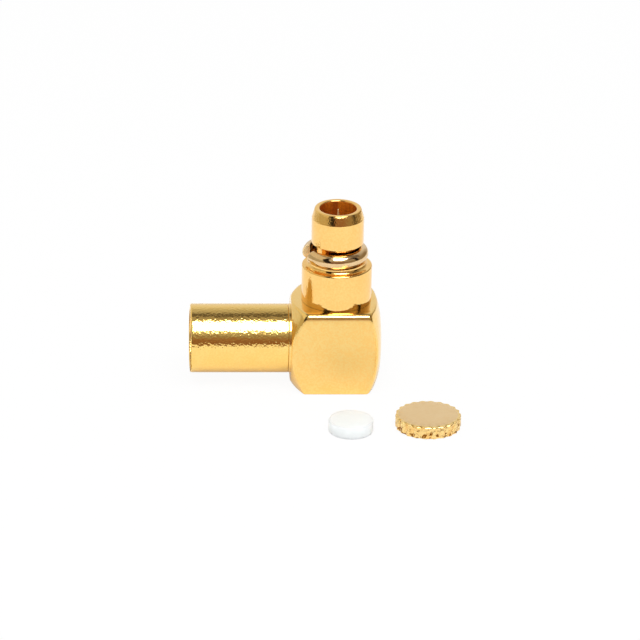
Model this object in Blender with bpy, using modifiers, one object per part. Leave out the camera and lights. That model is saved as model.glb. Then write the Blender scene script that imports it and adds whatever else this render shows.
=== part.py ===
"""Right-angle push-on coaxial plug for a thin cable, with its access disc and cap lying beside it.

A square housing block carries a pressed-in outer contact that points up (+Z) and a crimp stem
that points to -X. A split ring in the outer contact's groove snaps into the mating socket.
The block's underside is open: a white disc and a knurled cap close it once the cable is soldered.
Everything is first placed about the plug's axis, with the block's underside at height zero.
"""

import math

import bmesh
import bpy
from mathutils import Vector

MM = 0.001

# Clearances
FACE_GAP = 0.010 * MM
RADIAL_GAP = 0.012 * MM
CUT_OVERRUN = 0.30 * MM

# Housing block, a square bar lying along X, turned at both ends
BLOCK_WIDTH = 4.00 * MM
BLOCK_LENGTH = 4.20 * MM
BLOCK_EDGE_RADIUS = 0.14 * MM
ENTRY_FACE_RADIUS = 1.97 * MM
ENTRY_CHAMFER_SLOPE = 0.70
CROWN_HEIGHT = 0.65 * MM
CROWN_POWER = 3.0

# Crimp stem, cut from the block's cable end
FLANGE_RADIUS = 1.60 * MM
FLANGE_LENGTH = 0.11 * MM
FLANGE_CHAMFER = 0.03 * MM
PILOT_RADIUS = 1.36 * MM
PILOT_LENGTH = 0.35 * MM
STEM_RADIUS = 1.18 * MM
STEM_LENGTH = 3.90 * MM
STEM_GROOVE_DEPTH = 0.07 * MM
STEM_GROOVE_PITCH = 0.40 * MM
STEM_GROOVE_COUNT = 8
CABLE_BORE_RADIUS = 0.80 * MM

# Hollow through the block along the plug's axis
CHAMBER_RADIUS = 0.85 * MM
CAP_SEAT_RADIUS = 1.50 * MM
CAP_SEAT_CHAMFER = 0.05 * MM
DISC_SEAT_CLEARANCE = 0.02 * MM

# Outer contact
SHOULDER_RADIUS = 1.62 * MM
SHOULDER_HEIGHT = 1.75 * MM
SHOULDER_CHAMFER = 0.06 * MM
COLLAR_RADIUS = 1.30 * MM
COLLAR_HEIGHT = 0.21 * MM
GROOVE_RADIUS = 1.00 * MM
GROOVE_HEIGHT = 0.90 * MM
NOSE_RADIUS = 1.21 * MM
NOSE_LENGTH = 1.69 * MM
NOSE_EDGE = 0.03 * MM
RIM_RADIUS = 1.07 * MM
RIM_TAPER_LENGTH = 0.47 * MM
MOUTH_RADIUS = 0.82 * MM
MOUTH_EDGE = 0.03 * MM
SPIGOT_RADIUS = 1.35 * MM
SPIGOT_LENGTH = 1.05 * MM
FLANGE_SEAT_RADIUS = 0.98 * MM
FLANGE_SEAT_DEPTH = 0.40 * MM

# Snap ring, bent from half-round wire
RING_INNER_RADIUS = 1.174 * MM
RING_WIRE_RADIUS = 0.35 * MM
RING_CORNER = 0.04 * MM
RING_GAP_WIDTH = 0.75 * MM
RING_GAP_HEADING = math.radians(194.0)
RING_OFFSET_X = -0.085 * MM

# Front insulator
MOUTH_DEPTH = 2.40 * MM
BUSH_NECK_LENGTH = 0.25 * MM

# Centre contact
PIN_RADIUS = 0.20 * MM
PIN_RECESS = 0.07 * MM
PIN_TIP_LENGTH = 0.16 * MM
PIN_TIP_RADIUS = 0.08 * MM
CORE_RADIUS = 0.30 * MM
POST_RADIUS = 0.46 * MM
POST_LENGTH = 1.15 * MM
SLOT_WIDTH = 0.52 * MM
SLOT_ROOT_ABOVE_CABLE = 0.26 * MM

# Crimp ferrule
FERRULE_RADIUS = 1.60 * MM
FERRULE_WALL = 0.225 * MM
FERRULE_LENGTH = 4.53 * MM
FERRULE_OUTER_EDGE = 0.10 * MM
FERRULE_INNER_EDGE = 0.06 * MM

# Insulator disc and rear cap, both lying on the table beside the plug
DISC_RADIUS = 1.025 * MM
DISC_THICKNESS = 0.57 * MM
DISC_EDGE = 0.03 * MM
DISC_X = 0.49 * MM
DISC_Y = -5.96 * MM
CAP_CREST_RADIUS = 1.510 * MM
CAP_KNURL_DEPTH = 0.055 * MM
CAP_TEETH = 22
CAP_THICKNESS = 0.62 * MM
CAP_EDGE = 0.035 * MM
CAP_X = 4.05 * MM
CAP_Y = -5.52 * MM

# Facets
ROUND_STEPS = 48
SMALL_STEPS = 32
ARC_STEPS = 3
CROWN_POINTS = 7
POINTS_PER_TOOTH = 6
SHARP_ANGLE = math.radians(28.0)
RIM_STEPS = 2
RIM_ANGLE = math.radians(60.0)
MERGE_DISTANCE = 1.0e-8

# Heights above the table
CABLE_Z = BLOCK_WIDTH / 2
BLOCK_TOP_Z = BLOCK_WIDTH
SHOULDER_Z = BLOCK_TOP_Z + SHOULDER_HEIGHT
COLLAR_Z = SHOULDER_Z + COLLAR_HEIGHT
NOSE_Z = COLLAR_Z + GROOVE_HEIGHT
TIP_Z = NOSE_Z + NOSE_LENGTH
SPIGOT_Z = BLOCK_TOP_Z - SPIGOT_LENGTH
BUSH_TOP_Z = TIP_Z - MOUTH_DEPTH
RING_Z = COLLAR_Z + FACE_GAP + RING_WIRE_RADIUS

# Distances from the plug's axis to the cable side
ENTRY_X = BLOCK_LENGTH / 2
STEM_ROOT_X = ENTRY_X + FLANGE_LENGTH
FERRULE_START_X = STEM_ROOT_X + FACE_GAP
FERRULE_END_X = FERRULE_START_X + FERRULE_LENGTH

# The corner of the square bar is this far from the bar's own axis
BAR_CORNER_RADIUS = BLOCK_WIDTH / 2 * math.sqrt(2.0)
TURNED_LIMIT_RADIUS = BAR_CORNER_RADIUS + CUT_OVERRUN

GOLD = (0.86, 0.58, 0.24)
PALE_GOLD = (0.80, 0.66, 0.44)
NICKEL_GOLD = (0.66, 0.56, 0.42)
WHITE = (0.88, 0.88, 0.86)


def remove_old_objects():
    for old in list(bpy.data.objects):
        bpy.data.objects.remove(old, do_unlink=True)


def new_collection(name):
    collection = bpy.data.collections.new(name)
    bpy.context.scene.collection.children.link(collection)
    return collection


def finish_material(name, colour, metallic, roughness):
    material = bpy.data.materials.new(name)
    material.use_nodes = True
    shader = material.node_tree.nodes["Principled BSDF"]
    shader.inputs["Base Color"].default_value = (*colour, 1.0)
    shader.inputs["Metallic"].default_value = metallic
    shader.inputs["Roughness"].default_value = roughness
    return material


remove_old_objects()
PARTS = new_collection("right_angle_coaxial_plug")
CUTTERS = new_collection("cutters")
DATUM = bpy.data.objects.new("plug_axis", None)
PARTS.objects.link(DATUM)


def add_object(name, mesh, location=(0.0, 0.0, 0.0), rotation=(0.0, 0.0, 0.0), cutter=False):
    """Put a mesh in its collection, placed from the plug's axis at table height."""
    item = bpy.data.objects.new(name, mesh)
    item.location = location
    item.rotation_euler = rotation
    item.parent = DATUM
    if cutter:
        CUTTERS.objects.link(item)
        item.hide_render = True
        item.display_type = "WIRE"
    else:
        PARTS.objects.link(item)
    return item


def turned(name, profile, steps, closed=False, along_cable=False, height=0.0, offset_x=0.0, cutter=False):
    """Spin a (radius, height) profile that runs down its outer side.

    A piece that lies along the cable has its profile's heights counted from the plug's axis to -X.
    """
    count = len(profile)
    mesh = bpy.data.meshes.new(name)
    edges = [(i, i + 1) for i in range(count - 1)]
    if closed:
        edges.append((count - 1, 0))
    mesh.from_pydata([(radius, 0.0, z) for radius, z in profile], edges, [])
    location = (offset_x, 0.0, height)
    rotation = (0.0, 0.0, 0.0)
    if along_cable:
        location = (0.0, 0.0, CABLE_Z)
        rotation = (0.0, -math.pi / 2, 0.0)
    item = add_object(name, mesh, location, rotation, cutter)
    screw = item.modifiers.new("turn", "SCREW")
    screw.axis = "Z"
    screw.steps = steps
    screw.render_steps = steps
    screw.use_merge_vertices = True
    screw.merge_threshold = MERGE_DISTANCE
    return item


def combine(item, tool, operation):
    boolean = item.modifiers.new(operation.lower() + "_" + tool.name, "BOOLEAN")
    boolean.operation = operation
    boolean.object = tool


def dress(item, material):
    """Shade a finished piece smooth between its edges and give it its material."""
    item.data.shade_smooth()
    item.data.set_sharp_from_angle(angle=SHARP_ANGLE)
    item.data.materials.append(material)
    return item


def arc(centre_r, centre_z, radius, start, end, steps):
    """Points of an arc in a profile, with angles from the outward direction."""
    points = []
    for i in range(steps + 1):
        angle = start + (end - start) * i / steps
        points.append((centre_r + radius * math.cos(angle), centre_z + radius * math.sin(angle)))
    return points


def square_bar():
    """The block before turning, with its four long edges rounded."""
    mesh = bpy.data.meshes.new("housing_block")
    shape = bmesh.new()
    bmesh.ops.create_cube(shape, size=1.0)
    bmesh.ops.scale(shape, vec=(BLOCK_LENGTH + 2 * CUT_OVERRUN, BLOCK_WIDTH, BLOCK_WIDTH), verts=shape.verts)
    long_edges = []
    for edge in shape.edges:
        start, end = edge.verts
        if abs(start.co.x - end.co.x) > BLOCK_LENGTH / 2:
            long_edges.append(edge)
    bmesh.ops.bevel(shape, geom=long_edges, offset=BLOCK_EDGE_RADIUS, segments=ARC_STEPS,
                    profile=0.5, affect="EDGES")
    shape.to_mesh(mesh)
    shape.free()
    return add_object("housing_block", mesh, location=(0.0, 0.0, CABLE_Z))


def block_envelope():
    """What the lathe leaves of the bar: a chamfer at the cable end and a soft crown at the other."""
    chamfer_length = (TURNED_LIMIT_RADIUS - ENTRY_FACE_RADIUS) * ENTRY_CHAMFER_SLOPE
    profile = [(0.0, ENTRY_X), (ENTRY_FACE_RADIUS, ENTRY_X), (TURNED_LIMIT_RADIUS, ENTRY_X - chamfer_length)]
    for i in range(CROWN_POINTS + 1):
        radius = TURNED_LIMIT_RADIUS * (1.0 - i / CROWN_POINTS)
        fall = CROWN_HEIGHT * (radius / BAR_CORNER_RADIUS) ** CROWN_POWER
        profile.append((radius, -BLOCK_LENGTH / 2 + fall))
    return turned("block_envelope", profile, ROUND_STEPS, along_cable=True, cutter=True)


def crimp_stem():
    """Flange, pilot and grooved stem, rooted inside the block."""
    tip_x = STEM_ROOT_X + STEM_LENGTH
    profile = [(0.0, tip_x), (STEM_RADIUS - STEM_GROOVE_DEPTH, tip_x)]
    first_x = tip_x - STEM_GROOVE_PITCH / 2
    for i in range(STEM_GROOVE_COUNT):
        crest_x = first_x - i * STEM_GROOVE_PITCH
        profile.append((STEM_RADIUS, crest_x))
        profile.append((STEM_RADIUS - STEM_GROOVE_DEPTH, crest_x - STEM_GROOVE_PITCH / 2))
    pilot_x = STEM_ROOT_X + PILOT_LENGTH
    profile += [(STEM_RADIUS - STEM_GROOVE_DEPTH, pilot_x), (PILOT_RADIUS, pilot_x)]
    profile += [(PILOT_RADIUS, STEM_ROOT_X), (FLANGE_RADIUS - FLANGE_CHAMFER, STEM_ROOT_X)]
    profile += [(FLANGE_RADIUS, STEM_ROOT_X - FLANGE_CHAMFER), (FLANGE_RADIUS, ENTRY_X - CUT_OVERRUN)]
    profile.append((0.0, ENTRY_X - CUT_OVERRUN))
    return turned("crimp_stem", profile, ROUND_STEPS, along_cable=True, cutter=True)


def block_hollow():
    """Stepped hollow along the plug's axis: contact seat, solder chamber, disc seat and cap seat."""
    top = BLOCK_TOP_Z + CUT_OVERRUN
    seat_z = SPIGOT_Z - FACE_GAP
    cap_seat_z = CAP_THICKNESS + FACE_GAP
    disc_seat_z = cap_seat_z + DISC_THICKNESS + FACE_GAP
    contact_seat = SPIGOT_RADIUS + RADIAL_GAP
    disc_seat = DISC_RADIUS + DISC_SEAT_CLEARANCE
    profile = [(0.0, top), (contact_seat, top), (contact_seat, seat_z), (CHAMBER_RADIUS, seat_z)]
    profile += [(CHAMBER_RADIUS, disc_seat_z), (disc_seat, disc_seat_z), (disc_seat, cap_seat_z)]
    profile += [(CAP_SEAT_RADIUS, cap_seat_z), (CAP_SEAT_RADIUS, CAP_SEAT_CHAMFER)]
    profile += [(CAP_SEAT_RADIUS + CAP_SEAT_CHAMFER + CUT_OVERRUN, -CUT_OVERRUN), (0.0, -CUT_OVERRUN)]
    return turned("block_hollow", profile, ROUND_STEPS, cutter=True)


def cable_bore():
    """Drilled through the stem into the solder chamber."""
    end_x = STEM_ROOT_X + STEM_LENGTH + CUT_OVERRUN
    profile = [(0.0, end_x), (CABLE_BORE_RADIUS, end_x), (CABLE_BORE_RADIUS, 0.0), (0.0, 0.0)]
    return turned("cable_bore", profile, SMALL_STEPS, along_cable=True, cutter=True)


def housing_block(material):
    block = square_bar()
    combine(block, block_envelope(), "INTERSECT")
    combine(block, crimp_stem(), "UNION")
    combine(block, block_hollow(), "DIFFERENCE")
    combine(block, cable_bore(), "DIFFERENCE")
    return dress(block, material)


def outer_contact(material):
    shoulder_foot_z = BLOCK_TOP_Z + FACE_GAP
    profile = [(MOUTH_RADIUS + MOUTH_EDGE, TIP_Z), (RIM_RADIUS, TIP_Z)]
    profile += [(NOSE_RADIUS, TIP_Z - RIM_TAPER_LENGTH), (NOSE_RADIUS, NOSE_Z + NOSE_EDGE)]
    profile += [(NOSE_RADIUS - NOSE_EDGE, NOSE_Z), (GROOVE_RADIUS, NOSE_Z)]
    profile += [(GROOVE_RADIUS, COLLAR_Z), (COLLAR_RADIUS, COLLAR_Z), (COLLAR_RADIUS, SHOULDER_Z)]
    profile += [(SHOULDER_RADIUS - SHOULDER_CHAMFER, SHOULDER_Z)]
    profile += [(SHOULDER_RADIUS, SHOULDER_Z - SHOULDER_CHAMFER), (SHOULDER_RADIUS, shoulder_foot_z)]
    profile += [(SPIGOT_RADIUS, shoulder_foot_z), (SPIGOT_RADIUS, SPIGOT_Z)]
    profile += [(FLANGE_SEAT_RADIUS, SPIGOT_Z), (FLANGE_SEAT_RADIUS, SPIGOT_Z + FLANGE_SEAT_DEPTH)]
    profile += [(MOUTH_RADIUS, SPIGOT_Z + FLANGE_SEAT_DEPTH), (MOUTH_RADIUS, TIP_Z - MOUTH_EDGE)]
    return dress(turned("outer_contact", profile, ROUND_STEPS, closed=True), material)


def front_insulator(material):
    """Flanged bush, pressed into the outer contact from below, that holds the centre contact."""
    body_radius = MOUTH_RADIUS - RADIAL_GAP
    flange_radius = FLANGE_SEAT_RADIUS - RADIAL_GAP
    flange_top_z = SPIGOT_Z + FLANGE_SEAT_DEPTH - FACE_GAP
    neck_z = BUSH_TOP_Z - BUSH_NECK_LENGTH
    profile = [(PIN_RADIUS + RADIAL_GAP, BUSH_TOP_Z), (body_radius, BUSH_TOP_Z)]
    profile += [(body_radius, flange_top_z), (flange_radius, flange_top_z), (flange_radius, SPIGOT_Z)]
    profile += [(CORE_RADIUS + RADIAL_GAP, SPIGOT_Z), (CORE_RADIUS + RADIAL_GAP, neck_z)]
    profile += [(PIN_RADIUS + RADIAL_GAP, neck_z)]
    return dress(turned("front_insulator", profile, SMALL_STEPS, closed=True), material)


def solder_slot():
    """Slot along the cable, open downwards, that takes the cable's inner wire."""
    mesh = bpy.data.meshes.new("solder_slot")
    shape = bmesh.new()
    bmesh.ops.create_cube(shape, size=1.0)
    root_z = CABLE_Z + SLOT_ROOT_ABOVE_CABLE
    floor_z = SPIGOT_Z - POST_LENGTH - CUT_OVERRUN
    size = (2 * POST_RADIUS + 2 * CUT_OVERRUN, SLOT_WIDTH, root_z - floor_z)
    bmesh.ops.scale(shape, vec=size, verts=shape.verts)
    shape.to_mesh(mesh)
    shape.free()
    return add_object("solder_slot", mesh, location=(0.0, 0.0, (root_z + floor_z) / 2), cutter=True)


def center_contact(material):
    tip_z = TIP_Z - PIN_RECESS
    core_top_z = BUSH_TOP_Z - BUSH_NECK_LENGTH - FACE_GAP
    post_top_z = SPIGOT_Z - FACE_GAP
    post_foot_z = SPIGOT_Z - POST_LENGTH
    profile = [(0.0, tip_z), (PIN_TIP_RADIUS, tip_z), (PIN_RADIUS, tip_z - PIN_TIP_LENGTH)]
    profile += [(PIN_RADIUS, core_top_z), (CORE_RADIUS, core_top_z), (CORE_RADIUS, post_top_z)]
    profile += [(POST_RADIUS, post_top_z), (POST_RADIUS, post_foot_z), (0.0, post_foot_z)]
    contact = turned("center_contact", profile, SMALL_STEPS)
    combine(contact, solder_slot(), "DIFFERENCE")
    return dress(contact, material)


def ring_gap():
    """The saw cut between the ring's two ends."""
    mesh = bpy.data.meshes.new("ring_gap")
    shape = bmesh.new()
    bmesh.ops.create_cube(shape, size=1.0)
    reach = RING_INNER_RADIUS + RING_WIRE_RADIUS + CUT_OVERRUN
    depth = 2 * RING_WIRE_RADIUS + 2 * CUT_OVERRUN
    bmesh.ops.scale(shape, vec=(reach, RING_GAP_WIDTH, depth), verts=shape.verts)
    bmesh.ops.translate(shape, vec=(reach / 2, 0.0, 0.0), verts=shape.verts)
    shape.to_mesh(mesh)
    shape.free()
    location = (RING_OFFSET_X, 0.0, RING_Z)
    return add_object("ring_gap", mesh, location, (0.0, 0.0, RING_GAP_HEADING), cutter=True)


def snap_ring(material):
    """Open ring, flat inside and half-round outside, lying loose on the collar."""
    quarter = math.pi / 2
    lean = math.asin(RING_CORNER / RING_WIRE_RADIUS)
    profile = [(RING_INNER_RADIUS, RING_WIRE_RADIUS - RING_CORNER)]
    profile += arc(RING_INNER_RADIUS, 0.0, RING_WIRE_RADIUS, quarter - lean, lean - quarter, 2 * ARC_STEPS)
    profile += [(RING_INNER_RADIUS, RING_CORNER - RING_WIRE_RADIUS)]
    ring = turned("snap_ring", profile, ROUND_STEPS, closed=True, height=RING_Z, offset_x=RING_OFFSET_X)
    combine(ring, ring_gap(), "DIFFERENCE")
    return dress(ring, material)


def crimp_ferrule(material):
    """Plain sleeve that slides over the stem and stops at the block's flange."""
    bore = FERRULE_RADIUS - FERRULE_WALL
    start = FERRULE_START_X
    end = FERRULE_END_X
    profile = [(bore + FERRULE_INNER_EDGE, end)]
    profile += arc(FERRULE_RADIUS - FERRULE_OUTER_EDGE, end - FERRULE_OUTER_EDGE, FERRULE_OUTER_EDGE,
                   math.pi / 2, 0.0, ARC_STEPS)
    profile += [(FERRULE_RADIUS, start + FERRULE_INNER_EDGE), (FERRULE_RADIUS - FERRULE_INNER_EDGE, start)]
    profile += [(bore, start), (bore, end - FERRULE_INNER_EDGE)]
    return dress(turned("crimp_ferrule", profile, ROUND_STEPS, closed=True, along_cable=True), material)


def bevel_rims(item, width):
    bevel = item.modifiers.new("rims", "BEVEL")
    bevel.width = width
    bevel.segments = RIM_STEPS
    bevel.limit_method = "ANGLE"
    bevel.angle_limit = RIM_ANGLE


def insulator_disc(material):
    bpy.ops.mesh.primitive_cylinder_add(vertices=ROUND_STEPS, radius=DISC_RADIUS, depth=DISC_THICKNESS)
    mesh = bpy.context.object.data
    bpy.data.objects.remove(bpy.context.object)
    disc = add_object("insulator_disc", mesh, location=(DISC_X, DISC_Y, DISC_THICKNESS / 2))
    bevel_rims(disc, DISC_EDGE)
    return dress(disc, material)


def rear_cap(material):
    """Press-in cap: a disc whose edge is rolled into rounded teeth."""
    mesh = bpy.data.meshes.new("rear_cap")
    shape = bmesh.new()
    bmesh.ops.create_circle(shape, cap_ends=True, segments=CAP_TEETH * POINTS_PER_TOOTH, radius=CAP_CREST_RADIUS)
    for vert in shape.verts:
        angle = math.atan2(vert.co.y, vert.co.x)
        cut = CAP_KNURL_DEPTH * (0.5 - 0.5 * math.cos(CAP_TEETH * angle))
        vert.co *= (CAP_CREST_RADIUS - cut) / CAP_CREST_RADIUS
    raised = bmesh.ops.extrude_face_region(shape, geom=shape.faces[:])
    lifted = [element for element in raised["geom"] if isinstance(element, bmesh.types.BMVert)]
    bmesh.ops.translate(shape, vec=(0.0, 0.0, CAP_THICKNESS), verts=lifted)
    bmesh.ops.recalc_face_normals(shape, faces=shape.faces)
    shape.to_mesh(mesh)
    shape.free()
    cap = add_object("rear_cap", mesh, location=(CAP_X, CAP_Y, 0.0))
    bevel_rims(cap, CAP_EDGE)
    return dress(cap, material)


def centre_on_origin():
    """Move the plug's axis so that the middle of everything's footprint is at the origin."""
    bpy.context.view_layer.update()
    scene_state = bpy.context.evaluated_depsgraph_get()
    corners = []
    for item in PARTS.objects:
        if item.type == "MESH":
            shaped = item.evaluated_get(scene_state)
            corners += [shaped.matrix_world @ Vector(corner) for corner in shaped.bound_box]
    middle_x = (min(c.x for c in corners) + max(c.x for c in corners)) / 2
    middle_y = (min(c.y for c in corners) + max(c.y for c in corners)) / 2
    DATUM.location = (-middle_x, -middle_y, 0.0)


def build():
    plated = finish_material("gold_plate", GOLD, 1.0, 0.28)
    satin = finish_material("satin_gold_plate", GOLD, 1.0, 0.36)
    pale = finish_material("pale_gold_plate", PALE_GOLD, 1.0, 0.42)
    spring = finish_material("nickel_gold_spring", NICKEL_GOLD, 1.0, 0.30)
    white = finish_material("white_fluoropolymer", WHITE, 0.0, 0.45)
    housing_block(plated)
    outer_contact(plated)
    front_insulator(white)
    center_contact(plated)
    snap_ring(spring)
    crimp_ferrule(satin)
    insulator_disc(white)
    rear_cap(pale)
    centre_on_origin()


build()
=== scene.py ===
"""Looks of the right-angle coaxial plug with its loose disc and cap, in a plain white studio.

Lengths are in millimetres until a mesh, light or camera is made. Places are counted from the
plug's axis at table height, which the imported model's outer contact gives.
"""

import math

import bmesh
import bpy
from mathutils import Matrix, Vector, noise


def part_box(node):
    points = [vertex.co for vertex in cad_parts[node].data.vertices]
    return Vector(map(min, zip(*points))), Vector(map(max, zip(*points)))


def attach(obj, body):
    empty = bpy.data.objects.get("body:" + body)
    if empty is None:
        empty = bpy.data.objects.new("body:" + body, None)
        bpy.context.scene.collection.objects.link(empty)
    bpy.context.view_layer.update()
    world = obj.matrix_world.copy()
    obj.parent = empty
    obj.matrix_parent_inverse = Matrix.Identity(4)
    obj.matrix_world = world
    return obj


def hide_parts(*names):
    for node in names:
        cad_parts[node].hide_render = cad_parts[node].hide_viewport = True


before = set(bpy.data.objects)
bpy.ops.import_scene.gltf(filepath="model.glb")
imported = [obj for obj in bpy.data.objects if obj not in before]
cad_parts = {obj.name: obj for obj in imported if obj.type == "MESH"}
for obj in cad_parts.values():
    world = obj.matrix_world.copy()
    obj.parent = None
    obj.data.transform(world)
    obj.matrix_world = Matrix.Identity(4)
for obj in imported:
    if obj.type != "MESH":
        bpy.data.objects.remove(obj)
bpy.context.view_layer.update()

MM = 0.001

# Camera, fitted to the photograph
IMAGE_SIDE = 640
PIXELS_PER_MM = 21.58
AIM_HEIGHT = 2.0
AIM_PIXEL = (335.43, 337.77)
CAMERA_DISTANCE = 400.0
CAMERA_FALL = math.radians(23.756)
CAMERA_YAW = math.radians(-2.84)
CAMERA_ROLL = math.radians(1.16)
SENSOR_WIDTH = 36.0
CAMERA_NEAR, CAMERA_FAR = 10.0, 10000.0

# Small rounded edges and clearances that several pieces share
SMALL_ROUND = 0.03
FINE_ROUND = 0.02
FIT = 0.012
CUT_OVERRUN = 0.30

# Housing block
BLOCK_WIDTH = 4.00
BLOCK_LENGTH = 4.20
EDGE_TIGHT_RADIUS = 0.16
EDGE_EASED_RADIUS = 0.42
FOOT_EDGE_RADIUS = 0.07
ENTRY_FACE_RADIUS = 1.97
ENTRY_CHAMFER_SLOPE = 0.70
CROWN_HEIGHT = 0.65
CROWN_POWER = 3.0
TURNED_EDGE_ROUND = 0.06
CROWN_EDGE_ROUND = 0.20
CROWN_EDGE_REACH = 2.5 * CROWN_EDGE_ROUND
ENTRY_CORNER_ROUND = 0.60
FOOT_CORNER_ROUND = 0.15
BAR_SIDE_STEPS = 20
BAR_EDGE_STEPS = 14
CROWN_RINGS = 16

# Crimp stem
FLANGE_RADIUS = 1.60
FLANGE_LENGTH = 0.11
PILOT_RADIUS = 1.36
PILOT_LENGTH = 0.35
STEM_RADIUS = 1.18
STEM_LENGTH = 3.90
STEM_GROOVE_DEPTH = 0.07
STEM_GROOVE_PITCH = 0.40
STEM_GROOVE_COUNT = 8
CABLE_BORE_RADIUS = 0.80

# Hollow through the block along the plug's axis
CHAMBER_RADIUS = 0.85
CAP_SEAT_RADIUS = 1.50
CAP_SEAT_DEPTH = 0.63
CAP_SEAT_CHAMFER = 0.05
DISC_SEAT_RADIUS = 1.045
DISC_SEAT_DEPTH = 1.21
CONTACT_SEAT_RADIUS = 1.362
CONTACT_SEAT_Z = 2.94

# Outer contact
SHOULDER_RADIUS = 1.62
SHOULDER_FOOT_Z = 4.01
SHOULDER_Z = 5.75
SHOULDER_ROUND = 0.13
COLLAR_RADIUS = 1.30
COLLAR_Z = 5.96
COLLAR_COVE = 0.17
COLLAR_COVE_STEPS = 8
GROOVE_RADIUS = 1.00
NOSE_RADIUS = 1.21
NOSE_Z = 6.86
RIM_RADIUS = 1.07
RIM_TAPER_LENGTH = 0.47
RIM_EDGE_ROUND = 0.07
TIP_Z = 8.55
MOUTH_RADIUS = 0.85
MOUTH_EDGE_ROUND = 0.06
SPIGOT_RADIUS = 1.35
SPIGOT_Z = 2.95
FLANGE_SEAT_RADIUS = 0.98
FLANGE_SEAT_DEPTH = 0.40

# Front insulator and centre contact
BUSH_TOP_Z = 6.15
BUSH_NECK_LENGTH = 0.25
BUSH_STEPS = 128
PIN_RADIUS = 0.20
PIN_TIP_Z = 8.48
PIN_TIP_RADIUS = 0.025
PIN_TIP_ROUND = 0.015
PIN_TIP_LENGTH = 0.75
PIN_NEEDLE_RADIUS = 0.06
PIN_NEEDLE_LENGTH = 0.28
PIN_NEEDLE_ROUND = 0.20
PIN_SHANK_ROUND = 0.05
PIN_STEPS = 96
CORE_RADIUS = 0.30
POST_RADIUS = 0.46
POST_LENGTH = 1.15
SLOT_WIDTH = 0.52
SLOT_ROOT_Z = 2.26

# Snap ring, bent from half-round wire whose round side spans a little less than a half turn
RING_INNER_RADIUS = 1.174
RING_WIRE_RADIUS = 0.35
RING_WIRE_HALF_SWEEP = 76.0
RING_WIRE_STEPS = 24
RING_WIRE_MIDDLE = 0.45
RING_CORNER = 0.05
RING_END_ROUND = 0.035
RING_END_STEPS = 4
RING_END_SWEEP = math.radians(24.0)
RING_SKEW_SHARES = (0.25, 0.5, 0.75)
RING_ARCS = 168
RING_GAP_WIDTH = 0.75
RING_GAP_HEADING = math.radians(194.0)
RING_X = -0.085
RING_Z = 6.32

# Crimp ferrule, counted from the plug's axis towards the cable
FERRULE_RADIUS = 1.60
FERRULE_BORE = 1.375
FERRULE_START = 2.22
FERRULE_END = 6.75
FERRULE_OUTER_ROUND = 0.10
FERRULE_INNER_ROUND = 0.05
FERRULE_START_ROUND = 0.04
FERRULE_ROUND_STEPS = 7

# Orange peel of the ferrule's plating: its rows, its two grains and how far in from the outside it reaches
PEEL_FIRST = FERRULE_END - 0.17
PEEL_LAST = FERRULE_START + 0.05
PEEL_STEP = 0.031
PEEL_AROUND = 324
PEEL_SCALE = 9.5
PEEL_DEPTH = 0.0052
PEEL_COARSE_SHARE = 0.8
PEEL_FINE_SHARE = 0.6
PEEL_FINE_RATIO = 2.1
PEEL_FINE_SHIFT = Vector((7.0, 3.0, 1.0))
PEEL_REACH = 0.09

# Insulator disc
DISC_RADIUS = 1.025
DISC_THICKNESS = 0.57
DISC_EDGE_ROUND = 0.05
DISC_PLACE = (0.49, -5.96)

# Rear cap
CAP_CREST_RADIUS = 1.510
CAP_KNURL_DEPTH = 0.055
CAP_KNURL_POWER = 0.8
CAP_TEETH = 22
CAP_TOOTH_STEPS = 16
CAP_THICKNESS = 0.62
CAP_TOP_RADIUS = 1.41
CAP_PLACE = (4.05, -5.52)
CAP_INNER_RINGS = (0.7, 0.9)
CAP_FOOT_INSET = 0.08
CAP_FOOT_Z = 0.03
CAP_SIDE_HEIGHT = CAP_THICKNESS - 0.10
CAP_SIDE_ROWS = 12
CAP_LIP_INSET = 0.02
CAP_LIP_WIDTH = 0.07
CAP_LIP_FALL = 0.008
CAP_EDGE_INSET = 0.010
CAP_EDGE_FALL = 0.035

# Dents in the cap's teeth: how fine they are around and upwards, and the depths of both grains
DENT_AROUND, DENT_UP = 6, 8
DENT_FINE_RATIO = 2.3
DENT_DEPTH, DENT_FINE_DEPTH = 0.035, 0.02

# Facets
ROUND_STEPS = 192
FILLET_STEPS = 5
FILLET_SHARE = 0.45
SHARP_ANGLE = math.radians(35.0)
WELD_DISTANCE = 1.0e-8

# Colours of the metals and the plastic
GOLD, DEEP_GOLD = (1.0, 0.705, 0.255), (1.0, 0.650, 0.205)
CONTACT_GOLD, DEEP_CONTACT_GOLD = (1.0, 0.655, 0.228), (1.0, 0.600, 0.185)
SATIN, DEEP_SATIN = (1.0, 0.70, 0.230), (0.99, 0.65, 0.190)
PALE, DEEP_PALE = (0.98, 0.735, 0.41), (0.96, 0.70, 0.37)
NICKEL, DEEP_NICKEL = (0.85, 0.61, 0.34), (0.79, 0.55, 0.29)
# Painted shade down the contact's bore, and orange streaks of painted reflection on it
BORE_PAINTED_SHADE, BORE_PAINTED_REFLECTION = (0.42, 0.088, 0.004), (0.70, 0.20, 0.007)
PIN_GOLD, DEEP_PIN_GOLD = (0.96, 0.74, 0.36), (0.93, 0.68, 0.30)
SAWN_METAL = (1.0, 0.80, 0.46)
CAP_SIDE = (0.99, 0.72, 0.30)
# Painted shade in the bands down the cap's teeth and in its pits
CAP_RIB_PAINTED_SHADE = (0.95, 0.61, 0.21)
CAP_PIT_PAINTED_SHADE = (0.32, 0.13, 0.02)
MILK, DEEP_MILK = (0.88, 0.925, 0.965), (0.86, 0.905, 0.945)
# Painted shade on the loose disc's upper rim
DISC_RIM_PAINTED_SHADE = (0.78, 0.815, 0.84)

# In the materials a grain is a count per millimetre and a depth is in millimetres. A pair of values
# holds the two ends of a mask's edge or of a range. A noise field fills the range below.
NOISE_LOW, NOISE_HIGH = 0.3, 0.7

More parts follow.
